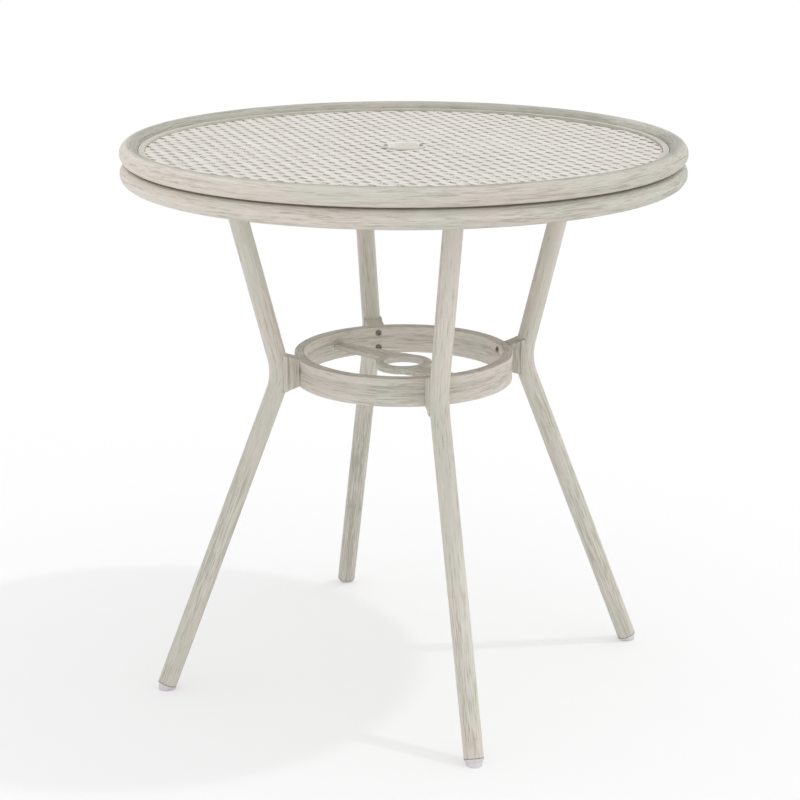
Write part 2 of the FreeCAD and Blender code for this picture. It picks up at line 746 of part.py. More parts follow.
# Button-head screws from inside the ring into the leg blocks, hexagon sockets.
def ring_screw(name, z):
    dome = "(ring_screw_head_thick - ring_screw_head_rim)"
    ball_radius = "((ring_screw_head_diameter / 2) ^ 2 + %s ^ 2) / (%s * 2)" % (dome, dome)
    top = "%s - ring_screw_head_thick" % SCREW_SEAT
    radius = "ring_screw_head_diameter / 2"
    blank = cylinder(name + "_blank", radius, "ring_screw_head_thick", top, "0", z, ALONG_X)
    ball = doc.addObject("Part::Sphere", name + "_ball")
    bind(ball, "Radius", ball_radius)
    seat(ball, "%s + %s" % (top, ball_radius), "0", z)
    head = doc.addObject("Part::Common", name + "_head")
    head.Base = blank
    head.Tool = ball
    reach = "%s + ring_screw_reach - %s" % (RING_INSIDE, SCREW_SEAT)
    shank = cylinder(name + "_shank", "ring_screw_diameter / 2", reach, SCREW_SEAT, "0", z, ALONG_X)
    flats = "ring_screw_socket_flats"
    socket = hexagon(name + "_socket", flats, "ring_screw_socket_depth", top, "0", z, ALONG_X)
    return cut(name, join(name + "_whole", [head, shank]), [socket])


def round_the_table(name, makers):
    """A group of like fasteners, one set of them at each leg."""
    solids = []
    for place, degrees in quarter_turns():
        for index, make in enumerate(makers, start=1):
            solid = make("%s_%d_%d" % (name, place, index))
            solid.Placement = about_z(degrees)
            solids.append(solid)
    keep(group(name, solids), name)


INNER_BOLT = "leg_top_radius - leg_bolt_spacing / 2"
OUTER_BOLT = "leg_top_radius + leg_bolt_spacing / 2"
LOW_SCREW = "%s - ring_screw_spacing / 2" % RING_MIDDLE
HIGH_SCREW = "%s + ring_screw_spacing / 2" % RING_MIDDLE

round_the_table("panel_screws", [panel_screw])
round_the_table("leg_plate_bolts", [
    lambda name: leg_bolt(name, INNER_BOLT),
    lambda name: leg_bolt(name, OUTER_BOLT),
])
round_the_table("rivet_nuts", [
    lambda name: rivet_nut(name, INNER_BOLT),
    lambda name: rivet_nut(name, OUTER_BOLT),
])
round_the_table("ring_screws", [
    lambda name: ring_screw(name, LOW_SCREW),
    lambda name: ring_screw(name, HIGH_SCREW),
])


# Ring round the waist: flat tube rolled on edge and drilled for the screws. Its outer
# face steps in a little below the upper edge and comes out again to the bottom.
def middle_ring():
    name = "middle_ring"
    body = new_body(name)
    section = sketch_on(body, name + "_section", "XZ_Plane")
    stepped = "%s - ring_step_depth" % RING_OUTSIDE
    ledge = "ring_bottom + ring_height - ring_step_drop"
    outline(section, [
        (RING_INSIDE, "ring_bottom"),
        (RING_OUTSIDE, "ring_bottom"),
        (stepped, ledge),
        (RING_OUTSIDE, ledge),
        (RING_OUTSIDE, "ring_bottom + ring_height"),
        (RING_INSIDE, "ring_bottom + ring_height"),
    ])
    near = "%s + ring_wall" % RING_INSIDE
    far = "%s - ring_wall" % stepped
    low = "ring_bottom + ring_wall"
    high = "ring_bottom + ring_height - ring_wall"
    outline(section, [(near, low), (far, low), (far, high), (near, high)])
    turned = revolve(body, section)
    wall = number("ring_height") / 2 - SAME
    middle = number(RING_MIDDLE)
    rims = flat_edges(
        turned.Shape,
        lambda b: b.ZLength < SAME and abs(b.ZMax - middle) > wall,
    )
    round_off(body, turned, rims, "ring_corner")
    radius = "ring_screw_diameter / 2 + screw_clearance"
    low_x = "%s - ring_thick / 2" % RING_INSIDE
    depth = "ring_thick * 2"
    for side, height in (("low", LOW_SCREW), ("high", HIGH_SCREW)):
        hole_name = "%s_%s_hole" % (name, side)
        hole = drill_round(body, hole_name, radius, depth, low_x, height, ALONG_X)
        repeat_round(body, hole, LEG_COUNT)
    keep(body, name)


middle_ring()


# Collar that guides the umbrella pole in the middle of the ring.
def pole_collar():
    name = "pole_collar"
    body = new_body(name)
    section = sketch_on(body, name + "_section", "XZ_Plane")
    outline(section, [
        ("collar_hole_diameter / 2", "collar_bottom"),
        ("collar_diameter / 2", "collar_bottom"),
        ("collar_diameter / 2", "collar_bottom + collar_height"),
        ("collar_hole_diameter / 2", "collar_bottom + collar_height"),
    ])
    turned = revolve(body, section)
    rims = flat_edges(turned.Shape, lambda b: b.ZLength < SAME)
    round_off(body, turned, rims, "collar_corner")
    keep(body, name)


pole_collar()


# Flat tapered arms welded to the ring and the collar: each runs from one end on the
# ring to the side of the collar and lies along it there. Drawn with the collar's
# tip of the arm on the X axis, then turned to its place.
def collar_arm(name, half_turn):
    body = new_body(name)
    section = sketch_on(body, name + "_section", "XY_Plane", COLLAR_ARM_BOTTOM)
    collar = "(collar_diameter / 2)"
    end = "(%s - weld_gap)" % RING_INSIDE
    back = "(collar_arm_back_angle - collar_arm_spread_angle / 2)"
    front = "(collar_arm_back_angle + collar_arm_spread_angle / 2)"
    root = "(collar_arm_back_angle + collar_arm_front_angle)"
    middle = "(collar_arm_back_angle / 2)"
    outline(section, [
        ("%s + collar_arm_tip" % collar, "0"),
        ("%s * cos(%s)" % (end, back), "%s * sin(%s)" % (end, back)),
        ("%s * cos(%s)" % (end, front), "%s * sin(%s)" % (end, front)),
        ("%s * cos(%s)" % (collar, root), "%s * sin(%s)" % (collar, root)),
        ("%s / 2 * cos(%s)" % (collar, middle), "%s / 2 * sin(%s)" % (collar, middle)),
    ])
    pad(body, section, "collar_arm_height")
    seat_radius = "%s + weld_gap" % collar
    drill_round(body, name + "_seat", seat_radius, "collar_arm_height", "0", COLLAR_ARM_BOTTOM)
    keep(body, name)
    body.Placement = about_z(number("collar_arm_turn_angle - collar_arm_back_angle") + half_turn)
    turn = "collar_arm_turn_angle - collar_arm_back_angle + %d" % half_turn
    bind(body, "Placement.Rotation.Angle", turn)


collar_arm("collar_arm_1", 0)
collar_arm("collar_arm_2", 180)

doc.recompute()
for thing in doc.Objects:
    if "Invalid" in thing.State or "Error" in thing.State:
        raise RuntimeError("%s: %s" % (thing.Label, thing.State))
os.makedirs("parts", exist_ok=True)
for piece in pieces:
    shape = piece.Shape
    if shape.isNull() or not shape.isValid():
        raise RuntimeError("%s has no valid shape" % piece.Label)
    shape.exportStep("parts/%s.step" % piece.Label)
    print("%-20s solids %d volume %.0f" % (piece.Label, len(shape.Solids), shape.Volume))
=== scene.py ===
import math

import bpy
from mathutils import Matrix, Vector


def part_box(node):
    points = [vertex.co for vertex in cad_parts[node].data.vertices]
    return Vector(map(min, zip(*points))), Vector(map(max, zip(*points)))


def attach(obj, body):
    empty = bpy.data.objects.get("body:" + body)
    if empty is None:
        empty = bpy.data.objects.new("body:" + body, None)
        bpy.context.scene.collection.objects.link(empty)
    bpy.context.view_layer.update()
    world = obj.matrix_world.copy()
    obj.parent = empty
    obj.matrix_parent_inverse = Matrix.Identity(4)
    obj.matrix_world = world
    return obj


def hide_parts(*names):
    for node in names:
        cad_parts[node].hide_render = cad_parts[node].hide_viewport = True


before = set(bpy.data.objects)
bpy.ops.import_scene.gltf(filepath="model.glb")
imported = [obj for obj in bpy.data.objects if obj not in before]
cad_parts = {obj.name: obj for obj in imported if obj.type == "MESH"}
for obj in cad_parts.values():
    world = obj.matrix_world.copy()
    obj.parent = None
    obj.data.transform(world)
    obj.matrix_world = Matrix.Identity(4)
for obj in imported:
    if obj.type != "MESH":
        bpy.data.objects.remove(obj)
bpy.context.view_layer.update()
bpy.ops.object.select_all(action="DESELECT")


# The two hoops of the rim: round metal tube of 25 mm rolled and welded shut, one on the
# other, with a flat ring in the seam. Like the whole frame they carry a pale wash, brushed
# along each tube over a warm grey ground that shows through in short streaks.
class Wire:
    """An output of a shader node: sums on wires add Math nodes to the tree."""

    def __init__(self, tree, socket):
        self.tree = tree
        self.socket = socket

    def node(self, kind, settings, inputs, output=0):
        """Any other node: its settings first, then the values or wires it takes."""
        made = self.tree.nodes.new("ShaderNode" + kind)
        for name, value in settings.items():
            setattr(made, name, value)
        for name, value in inputs.items():
            if isinstance(value, Wire):
                self.tree.links.new(value.socket, made.inputs[name])
            else:
                made.inputs[name].default_value = value
        return Wire(self.tree, made.outputs[output])

    def sum(self, operation, *values):
        return self.node("Math", {"operation": operation}, dict(enumerate(values)))

    def __add__(self, other):
        return self.sum("ADD", self, other)

    __radd__ = __add__

    def __sub__(self, other):
        return self.sum("SUBTRACT", self, other)

    def __rsub__(self, other):
        return self.sum("SUBTRACT", other, self)

    def __mul__(self, other):
        return self.sum("MULTIPLY", self, other)

    __rmul__ = __mul__

    def __truediv__(self, other):
        return self.sum("DIVIDE", self, other)

    def root(self):
        return self.sum("SQRT", self)

    def size(self):
        return self.sum("ABSOLUTE", self)

    def floor(self):
        return self.sum("FLOOR", self)

    def sine(self):
        return self.sum("SINE", self)

    def most(self, other):
        return self.sum("MAXIMUM", self, other)

    def rise(self, low, high):
        """0 below low, 1 above high, and a smooth rise between them."""
        inputs = {"Value": self, "From Min": low, "From Max": high}
        return self.node("MapRange", {"interpolation_type": "SMOOTHSTEP"}, inputs)

    def vector(self, x, y, z):
        return self.node("CombineXYZ", {}, {"X": x, "Y": y, "Z": z})

    def parts(self):
        """The three parts of a vector."""
        split = self.node("SeparateXYZ", {}, {"Vector": self}).socket.node
        return [Wire(self.tree, part) for part in split.outputs]

    def blend(self, first, second):
        """The first colour where this wire is 0 and the second where it is 1."""
        return self.node("Mix", {"data_type": "RGBA"}, {0: self, 6: first, 7: second}, 2)

    def tint(self, factor):
        """This colour, made lighter or darker all through by a factor."""
        grey = self.node("CombineColor", {}, {"Red": factor, "Green": factor, "Blue": factor})
        settings = {"data_type": "RGBA", "blend_type": "MULTIPLY"}
        return self.node("Mix", settings, {0: 1.0, 6: self, 7: grey}, 2)

    def noise(self, x, y, z, w, detail=2.0, roughness=0.5):
        """Cloudy noise at a place with four coordinates, any of them wires."""
        inputs = {
            "Vector": self.vector(x, y, z), "W": w, "Scale": 1.0,
            "Detail": detail, "Roughness": roughness,
        }
        return self.node("TexNoise", {"noise_dimensions": "4D"}, inputs)


def colour(red, green, blue):
    """A colour as a screen shows it, from 0 to 255, made linear."""
    parts = []
    for level in (red, green, blue):
        level = level / 255.0
        parts.append(level / 12.92 if level <= 0.04045 else ((level + 0.055) / 1.055) ** 2.4)
    return (*parts, 1.0)


def source(tree, kind, output):
    """A wire out of a node that takes nothing in."""
    return Wire(tree, tree.nodes.new("ShaderNode" + kind).outputs[output])


def new_finish(name):
    """A new material with its shader, and the three Object coordinates as wires."""
    material = bpy.data.materials.new(name)
    material.use_nodes = True
    tree = material.node_tree
    return material, tree.nodes["Principled BSDF"], source(tree, "TexCoord", "Object").parts()


def feed(shader, name, wire):
    wire.tree.links.new(wire.socket, shader.inputs[name])


ROSY_WASH = colour(214, 206, 196)
GREEN_WASH = colour(208, 207, 195)
GROUND_COLOUR = colour(145, 138, 120)
CHALK_COLOUR = colour(230, 227, 218)
GROUND_SHARE = 0.48
CHALK_SHARE = 0.58


def whitewash(shader, along_x, along_y, depth, side, seed, bare=0.0, rosy=0.0, darkening=0.0):
    """Brushed wash: streaks follow the pair of along wires, which may go round a ring.
    The wash is thinner and darker the higher bare is, and only darker the higher darkening
    is. Callers use both to carry painted shade and painted light as well. It is warmer
    where rosy is above 0 and greener below."""

    def brushed(length, width, detail, shift):
        """Noise drawn out along the brush: so many marks to the metre each way."""
        return along_x.noise(
            along_x * length, along_y * length, depth * width, side * width + (seed + shift),
            detail, 0.6,
        )

    drift = brushed(6.0, 30.0, 2.0, 0.0)
    band = brushed(9.0, 170.0, 3.0, 7.3)
    streak = brushed(15.0, 420.0, 2.0, 13.7)
    hair = brushed(45.0, 800.0, 2.0, 19.1)
    batch = brushed(9.0, 9.0, 1.0, 31.3)
    marks = band * 0.15 + streak * 0.35 + hair * 0.5
    worn = (marks + (drift - 0.5) * 0.2 + bare * 0.04).rise(0.51, 0.62)
    chalk = marks.rise(0.47, 0.38)
    tone = (batch + rosy).rise(0.36, 0.64).blend(GREEN_WASH, ROSY_WASH)
    tone = (worn * GROUND_SHARE).blend(tone, GROUND_COLOUR)
    tone = (chalk * CHALK_SHARE).blend(tone, CHALK_COLOUR)
    tone = tone.tint(0.965 + drift * 0.07 - (bare + darkening) * 0.1)
    feed(shader, "Base Color", tone)
    feed(shader, "Roughness", 0.5 + worn * 0.14 + hair * 0.1)
    height = band * 0.3 + streak * 0.4 + hair * 0.3 - worn * 0.2
    bump = height.node("Bump", {}, {"Strength": 0.4, "Distance": 0.0004, "Height": height})
    feed(shader, "Normal", bump)
    shader.inputs["Specular IOR Level"].default_value = 0.2


def ring_finish(name, radius, height, seed, bare, darkening=None):
    """The wash brushed round a ring about the table's axis, counted from a radius and a
    height: the middle of a round tube, or halfway up the outer face of a flat ring. Two
    functions say how bare it is and how much darker it is made; on the hoops this is painted shade."""
    material, shader, (x, y, z) = new_finish(name)
    reach = (x * x + y * y).root()
    depth, side = reach - radius, z - height
    grey = darkening(depth, side, x / reach, y / reach) if darkening else 0.0
    whitewash(
        shader, x / reach * radius, y / reach * radius, depth, side, seed,
        bare(depth, side), 0.08 - grey * 0.08, grey,
    )
    return material


def dress(node, material):
    """Gives a node of the frame its finish."""
    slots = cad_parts[node].data.materials
    for index in range(len(slots)):
        slots[index] = material


def middle_of(node):
    """The outer radius of a ring node, and its mean height."""
    low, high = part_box(node)
    return (high.x - low.x) / 2.0, (high.z + low.z) / 2.0


# Where the painted shade and painted light of a hoop change, from one value to the
# other, in metres out from the middle circle of its tube, or up from it.
INNER_SIDE = (0.009, -0.003)
UPPER_OFF_SEAM = (-0.009, -0.003)
UPPER_PAINTED_LIGHT_EDGE = (-0.007, -0.0115)
LOWER_OFF_SEAM = (0.004, -0.002)
LOWER_BAND_FOOT = (0.002, 0.006)
LOWER_BAND_TOP = (0.0127, 0.010)


def hoop_painted_shade(depth, off_seam, toward_leg, toward_back):
    """A hoop carries painted shade, most on its inner side; on its outer side it is darker
    towards the first leg. Along one short stretch by the first leg the inner side has less painted
    shade."""
    less_shaded = toward_leg.rise(0.9, 0.98) * toward_back.rise(-0.2, 0.0)
    on_inside = 3.45 - toward_back * 0.9 - toward_leg * 0.3 - less_shaded * 1.6
    on_outside = toward_leg * 1.3 - off_seam * toward_back * 0.7
    inside = depth.rise(*INNER_SIDE)
    return inside * on_inside + (1.0 - inside) * on_outside


def upper_painted_shade_and_light(depth, side, toward_leg, toward_back):
    """The upper hoop carries painted light along its lower edge, just over the seam, where it would
    lie in shade.
    """
    seam_edge_highlight = side.rise(*UPPER_PAINTED_LIGHT_EDGE) * 2.2
    return hoop_painted_shade(depth, side.rise(*UPPER_OFF_SEAM), toward_leg, toward_back) - seam_edge_highlight


def lower_painted_shade(depth, side, toward_leg, toward_back):
    """The lower hoop carries painted shade in a band along the seam as well, under the upper hoop,
    most of all in front.
    """
    band = side.rise(*LOWER_BAND_FOOT) * side.rise(*LOWER_BAND_TOP) * (0.3 - toward_back * 0.8)
    return hoop_painted_shade(depth, side.rise(*LOWER_OFF_SEAM), toward_leg, toward_back) + band


for seed, (hoop, darkening_of) in enumerate((
    ("upper_rim_ring", upper_painted_shade_and_light), ("lower_rim_ring", lower_painted_shade)
)):
    low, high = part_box(hoop)
    hoop_reach, hoop_height = middle_of(hoop)
    dress(hoop, ring_finish(
        hoop + "_wash", hoop_reach - (high.z - low.z) / 2.0, hoop_height, seed * 31.0,
        lambda depth, side: 0.2, darkening_of,
    ))
# The seam ring is painted very dark: painted shade in the crevice between the touching hoops.
seam_reach, seam_height = middle_of("rim_seam_ring")
dress("rim_seam_ring", ring_finish(
    "rim_seam_wash", seam_reach, seam_height, 77.0, lambda depth, side: 6.0
))


# The legs: round tube of 26 mm with one bend at the waist, leaning out above and below
# it. The wash is brushed along each leg and follows its bend. Below the bend each leg is
# darker and more streaked towards the foot, by its own amount; high up, under the top,
# it carries painted light. A line of painted shade shows where the square-cut tube ends on the
# glide.
WAIST_REACH = 0.1728
WAIST_HEIGHT = 0.4446
MEAN_LEAN = -0.0691
HALF_SPREAD = 0.3219
BEND_EASE = 0.013
LOW_DARKENING = (0.5, 1.0, 0.5, 0.1)
HIGH_PAINTED_LIGHT = (0.9, 0.9, 0.9, 0.2)
LEG_TUBE_RADIUS = 0.013
CUT_LINE_SHADE = (0.0016, 0.0006)
foot_lean = math.atan(HALF_SPREAD - MEAN_LEAN)
low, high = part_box("leg_tube_1")
cut_reach = high.x - math.cos(foot_lean) * LEG_TUBE_RADIUS
cut_height = low.z + math.sin(foot_lean) * LEG_TUBE_RADIUS

for place in range(1, 5):
    leg = "leg_tube_%d" % place
    leg_wash, leg_shader, (x, y, z) = new_finish(leg + "_wash")
    outward, sideways = (x.size(), y) if place % 2 else (y.size(), x)
    rise = z - WAIST_HEIGHT
    spread = (rise * rise + BEND_EASE ** 2).root() * HALF_SPREAD + rise * MEAN_LEAN
    from_axis = outward - spread - WAIST_REACH
    above_cut = (z - cut_height) * math.cos(foot_lean) - (outward - cut_reach) * math.sin(foot_lean)
    # Darker towards the foot, painted light high up under the top, and painted shade at the cut.
    leg_darkening = z.rise(WAIST_HEIGHT, 0.3) * LOW_DARKENING[place - 1]
    leg_darkening = leg_darkening - z.rise(0.5, 0.7) * HIGH_PAINTED_LIGHT[place - 1] + above_cut.rise(*CUT_LINE_SHADE) * 5.0
    whitewash(
        leg_shader, z, 0.0, from_axis, sideways, 100.0 + place * 13.0, leg_darkening,
        leg_darkening.most(0.0) * -0.1,
    )
    dress(leg, leg_wash)


# The ring at the waist, of flat tube 39 mm high and 14 mm thick rolled on edge, the
# small pole collar inside it and the lip of the woven panel: all brushed round the same
# axis. The waist ring is darker, with more ground showing, on its top edge and under its
# step: painted shade, where the top and the step shade it.
UNDER_STEP_SHADE_FADE = (-0.020, 0.0085)
STEP_EDGE = (0.0092, 0.0084)
TOP_EDGE_SHADE = (0.0175, 0.0193)


def waist_wear_and_shade(depth, side):
    # Painted shade under the step and on the top edge, over an even wear.
    under_step_shade = side.rise(*UNDER_STEP_SHADE_FADE) * side.rise(*STEP_EDGE)
    return 0.15 + under_step_shade * 0.9 + side.rise(*TOP_EDGE_SHADE) * 0.8


for seed, (ring, wear, darkening_of) in enumerate((
    ("middle_ring", waist_wear_and_shade, None),
    ("pole_collar", lambda depth, side: 0.4, lambda *where: 0.6),
    ("panel_frame_ring", lambda depth, side: -0.6, lambda *where: 1.8),
)):
    ring_reach, ring_middle = middle_of(ring)
    dress(ring, ring_finish(
        ring + "_wash", ring_reach, ring_middle, 200.0 + seed * 17.0, wear, darkening_of
    ))


# Flat pieces of the same frame: the blocks that hold the ring to the legs are brushed
# upright, with painted shade in the seam at the saddle, and the two arms along their
# length. The right-hand block is darker and more streaked all over, with fainter painted seam
# shade.
SADDLE_START = 0.1665
SADDLE_SEAM_SHADE = (0.0016, 0.0004)
NECK_FADE = 0.003

for place in range(1, 5):
    block = "leg_block_%d" % place
    block_wash, block_shader, (x, y, z) = new_finish(block + "_wash")
    outward, sideways = (x.size(), y) if place % 2 else (y.size(), x)
    seam_shade = (outward - SADDLE_START).size().rise(*SADDLE_SEAM_SHADE)
    neck = outward.rise(SADDLE_START, SADDLE_START - NECK_FADE)
    right_hand = place == 1
    bare = neck * 0.6 + seam_shade * (0.7 if right_hand else 1.5) + (0.9 if right_hand else 0.0)
    whitewash(block_shader, z, 0.0, outward, sideways, 300.0 + place * 5.0, bare)
    dress(block, block_wash)

ARM_BEARING = math.radians(118.0)
for place in (1, 2):
    arm = "collar_arm_%d" % place
    arm_wash, arm_shader, (x, y, z) = new_finish(arm + "_wash")
    length = x * math.cos(ARM_BEARING) + y * math.sin(ARM_BEARING)
    across = y * math.cos(ARM_BEARING) - x * math.sin(ARM_BEARING)
    whitewash(arm_shader, length, 0.0, across, z, 400.0 + place * 5.0, 0.5)
    dress(arm, arm_wash)


# The hidden frame under the top: rectangular tube arms, leg plates, hub rings and
# flat spokes, sprayed with the same tone but hardly brushed.
def sprayed(name, seed):
    """Plain paint with broad clouds and a fine grain."""
    material, shader, (x, y, z) = new_finish(name)
    cloud = x.noise(x * 30.0, y * 30.0, z * 30.0, seed, 3.0)
    grain = x.noise(x * 900.0, y * 900.0, z * 900.0, seed, 1.0)
    tone = cloud.rise(0.35, 0.7).blend(colour(205, 200, 189), colour(192, 186, 173))
    feed(shader, "Base Color", tone)
    feed(shader, "Roughness", 0.55 + grain * 0.15)
    bump = grain.node("Bump", {}, {"Strength": 0.3, "Distance": 0.0002, "Height": grain})
    feed(shader, "Normal", bump)
    return material


arm_spray = sprayed("under_frame_spray", 3.0)
for place in range(1, 5):
    for start in ("support_arm", "leg_top_plate", "panel_spoke"):
        dress("%s_%d" % (start, place), arm_spray)
for hub in ("arm_hub_ring", "panel_hub_ring"):
    dress(hub, arm_spray)


# The woven top: flat oval strands of resin, laid side by side, that go over and under
# stiff flat stakes. A strand lies level and dips only under every second stake, so
# that the top is smooth with staggered pits. It is heat-set, and cut to the lip.
WEAVE_TURN = math.radians(23.5)
STRAND_PITCH = 0.0088225
STRAND_WIDTH = 0.0087
STRAND_THICK = 0.0011
STRAND_EDGE = 0.0004
FIRST_STRAND = -0.002328
STAKE_PITCH = 0.02345
STAKE_WIDTH = 0.0084
STAKE_THICK = 0.0021
FIRST_STAKE = 0.009406
DIP_REACH = 0.0093
DIP_FLOOR = STAKE_WIDTH / 2.0 - 0.0006
DIP_COUNT = 17
LIP_CLEARANCE = 0.0004
HUB_WIDTH = 0.010
PANEL_CLEARANCE = 0.0001
STAKE_CLEARANCE = 0.00005
SHORTEST_SEGMENT = 0.006
RIB_PITCH = 0.0011
RESIN_FLECK = colour(238, 236, 230)
panel_low, panel_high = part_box("woven_top_panel")
PANEL_RADIUS = panel_high.x - LIP_CLEARANCE
HOLE_RADIUS = (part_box("panel_hub_ring")[1].x - HUB_WIDTH) + PANEL_CLEARANCE
STRAND_LEVEL = panel_high.z - STRAND_THICK / 2.0
DIP_DEPTH = panel_high.z - panel_low.z - STRAND_THICK - PANEL_CLEARANCE
STAKE_LEVEL = panel_high.z - STRAND_THICK - STAKE_THICK / 2.0 - STAKE_CLEARANCE


def choose(*objects):
    """Selects these objects alone and makes the first one active."""
    bpy.ops.object.select_all(action="DESELECT")
    for obj in objects:
        obj.select_set(True)
    bpy.context.view_layer.objects.active = objects[0]


def edit_all(obj):
    """Opens an object in edit mode with all of it selected."""
    choose(obj)
    bpy.ops.object.mode_set(mode="EDIT")
    bpy.ops.mesh.select_all(action="SELECT")


def leave_edit():
    bpy.ops.object.mode_set(mode="OBJECT")


def use_modifier(obj, kind, **settings):
    """Adds a modifier with its settings and applies it."""
    choose(obj)
    modifier = obj.modifiers.new(kind, kind)
    for name, value in settings.items():
        setattr(modifier, name, value)
    bpy.ops.object.modifier_apply(modifier=modifier.name)


def settle(obj, name):
    """Names a finished piece and puts its place into its mesh."""
    choose(obj)
    bpy.ops.object.transform_apply(location=True, rotation=True, scale=True)
    obj.name = name
    obj.data.name = name


def copy_of(obj):
    """A copy with its own mesh."""
    twin = obj.copy()
    twin.data = obj.data.copy()
    bpy.context.collection.objects.link(twin)
    return twin


def join_all(objects):
    choose(*objects)
    bpy.ops.object.join()
    return bpy.context.view_layer.objects.active


def model_strand():
    """A strand along Y with a dip at the origin and at every second stake from it."""
    bpy.ops.mesh.primitive_plane_add(size=1.0, location=(0.0, 0.0, 0.0))
    strand = bpy.context.object
    edit_all(strand)
    bpy.ops.transform.resize(
        value=(STRAND_WIDTH, STRAND_THICK, 1.0), center_override=(0.0, 0.0, 0.0)
    )
    bpy.ops.transform.rotate(
        value=math.radians(90.0), orient_axis="X", center_override=(0.0, 0.0, 0.0)
    )
    bpy.ops.mesh.bevel(offset=STRAND_EDGE, offset_type="OFFSET", segments=1, affect="VERTICES")
    rising = (0.0036, 0.0048, 0.0059, 0.0070, 0.0081, DIP_REACH, STAKE_PITCH)
    steps = [-y for y in reversed(rising)] + [0.0] + list(rising)

    def height(y):
        """Level between the dips, and down to a flat floor under the stake."""
        share = min(max((abs(y) - DIP_FLOOR) / (DIP_REACH - DIP_FLOOR), 0.0), 1.0)
        return -DIP_DEPTH * (1.0 - share * share * (3.0 - 2.0 * share))

    bpy.ops.transform.translate(value=(0.0, steps[0], 0.0))
    for here, there in zip(steps, steps[1:]):
        bpy.ops.mesh.extrude_region_move(
            TRANSFORM_OT_translate={"value": (0.0, there - here, height(there) - height(here))}
        )
    leave_edit()
    use_modifier(
        strand, "ARRAY", count=DIP_COUNT, use_relative_offset=False, use_constant_offset=True,
        constant_offset_displace=(0.0, STAKE_PITCH * 2.0, 0.0), use_merge_vertices=True,
        merge_threshold=0.00001,
    )
    edit_all(strand)
    bpy.ops.transform.translate(value=(0.0, -STAKE_PITCH * 2.0 * (DIP_COUNT // 2), 0.0))
    bpy.ops.mesh.normals_make_consistent(inside=False)
    leave_edit()
    return strand


def model_stake():
    """A straight flat stake along X with rounded edges."""
    bpy.ops.mesh.primitive_cube_add(size=1.0, location=(0.0, 0.0, 0.0))
    stake = bpy.context.object
    stake.scale = (PANEL_RADIUS * 2.1, STAKE_WIDTH, STAKE_THICK)
    settle(stake, "stake")
    use_modifier(stake, "BEVEL", width=STAKE_THICK * 0.3, segments=2)
    return stake


def trim(obj, x, y, radius, keep_inside):
    """Cuts a laid strip square to the radius, near where it crosses a circle."""
    edit_all(obj)
    outward = Vector((x, y, 0.0)).normalized()
    bpy.ops.mesh.bisect(
        plane_co=outward * radius, plane_no=outward, use_fill=True,
        clear_outer=keep_inside, clear_inner=not keep_inside,
    )
    leave_edit()


def lay_strips(model, pitch, first, runs_along_y, level, shift):
    """Copies of a strip, side by side, each cut at the lip and at the pole hole."""
    laid = []
    last = int(PANEL_RADIUS / pitch) + 1
    for number in range(-last, last + 1):
        across = first + number * pitch
        if abs(across) > PANEL_RADIUS - SHORTEST_SEGMENT:
            continue
        end = math.sqrt(PANEL_RADIUS ** 2 - across ** 2)
        halves = (1.0, -1.0) if abs(across) < HOLE_RADIUS else (0.0,)
        for half in halves:
            strip = copy_of(model)
            along = shift(number)
            place = (across, along, level) if runs_along_y else (along, across, level)
            strip.location = place
            settle(strip, "strip")
            for sign in (1.0, -1.0):
                x, y = (across, end * sign) if runs_along_y else (end * sign, across)
                if half and sign != half:
                    hole = math.sqrt(HOLE_RADIUS ** 2 - across ** 2) * half
                    x, y = (across, hole) if runs_along_y else (hole, across)
                    trim(strip, x, y, HOLE_RADIUS, False)
                else:
                    trim(strip, x, y, PANEL_RADIUS, True)
            laid.append((number, strip))
    bpy.data.objects.remove(model)
    return laid


def dips_at(number):
    """Where a strand's dips fall: neighbours dip under alternate stakes."""
    return FIRST_STAKE + STAKE_PITCH * (number % 2 == 0)


def strip_finish(name, pitch, first, along_y, base, deep, seed, dips=False):
    """Resin strip: a tone of its own, fine ribs along it and a faint brushed wash. Below the
    top it is painted a little darker as shade, and a strand's dips carry painted shade, deeper in
    some than others."""
    material, shader, (x, y, z) = new_finish(name)
    weave_x = x * math.cos(WEAVE_TURN) + y * math.sin(WEAVE_TURN)
    weave_y = y * math.cos(WEAVE_TURN) - x * math.sin(WEAVE_TURN)
    across, length = (weave_x, weave_y) if along_y else (weave_y, weave_x)
    number = ((across - (first - pitch / 2.0)) / pitch).floor()
    own = x.noise(number * 3.7, 0.0, 0.0, seed, 0.0)
    wash = x.noise(length * 14.0, across * 260.0, number * 1.7, seed, 3.0)
    ribs = (across * (2.0 * math.pi / RIB_PITCH)).sine()
    shade = z.rise(panel_high.z - 0.0003, panel_high.z - 0.0012) * 0.1
    if dips:
        odd = number - (number / 2.0).floor() * 2.0
        turns = (length - FIRST_STAKE + STAKE_PITCH * (odd - 1.0)) / (STAKE_PITCH * 2.0)
        nearest = (turns + 0.5).floor()
        share = (turns - nearest).size() * (STAKE_PITCH * 2.0)
        dip_shade_share = x.noise(number * 5.3, nearest * 4.1, 0.0, seed, 0.0)
        shade = shade + share.rise(DIP_REACH * 1.15, DIP_REACH * 0.6) * (0.02 + dip_shade_share * 0.26)
    tone = wash.rise(0.42, 0.68).blend(base, deep)
    tone = wash.rise(0.40, 0.28).blend(tone, RESIN_FLECK)
    tone = tone.tint((0.95 + own * 0.08) * (1.0 - shade))
    feed(shader, "Base Color", tone)
    feed(shader, "Roughness", 0.5 + wash * 0.2)
    height = ribs * 0.5 + wash
    bump = height.node("Bump", {}, {"Strength": 0.25, "Distance": 0.0003, "Height": height})
    feed(shader, "Normal", bump)
    return material


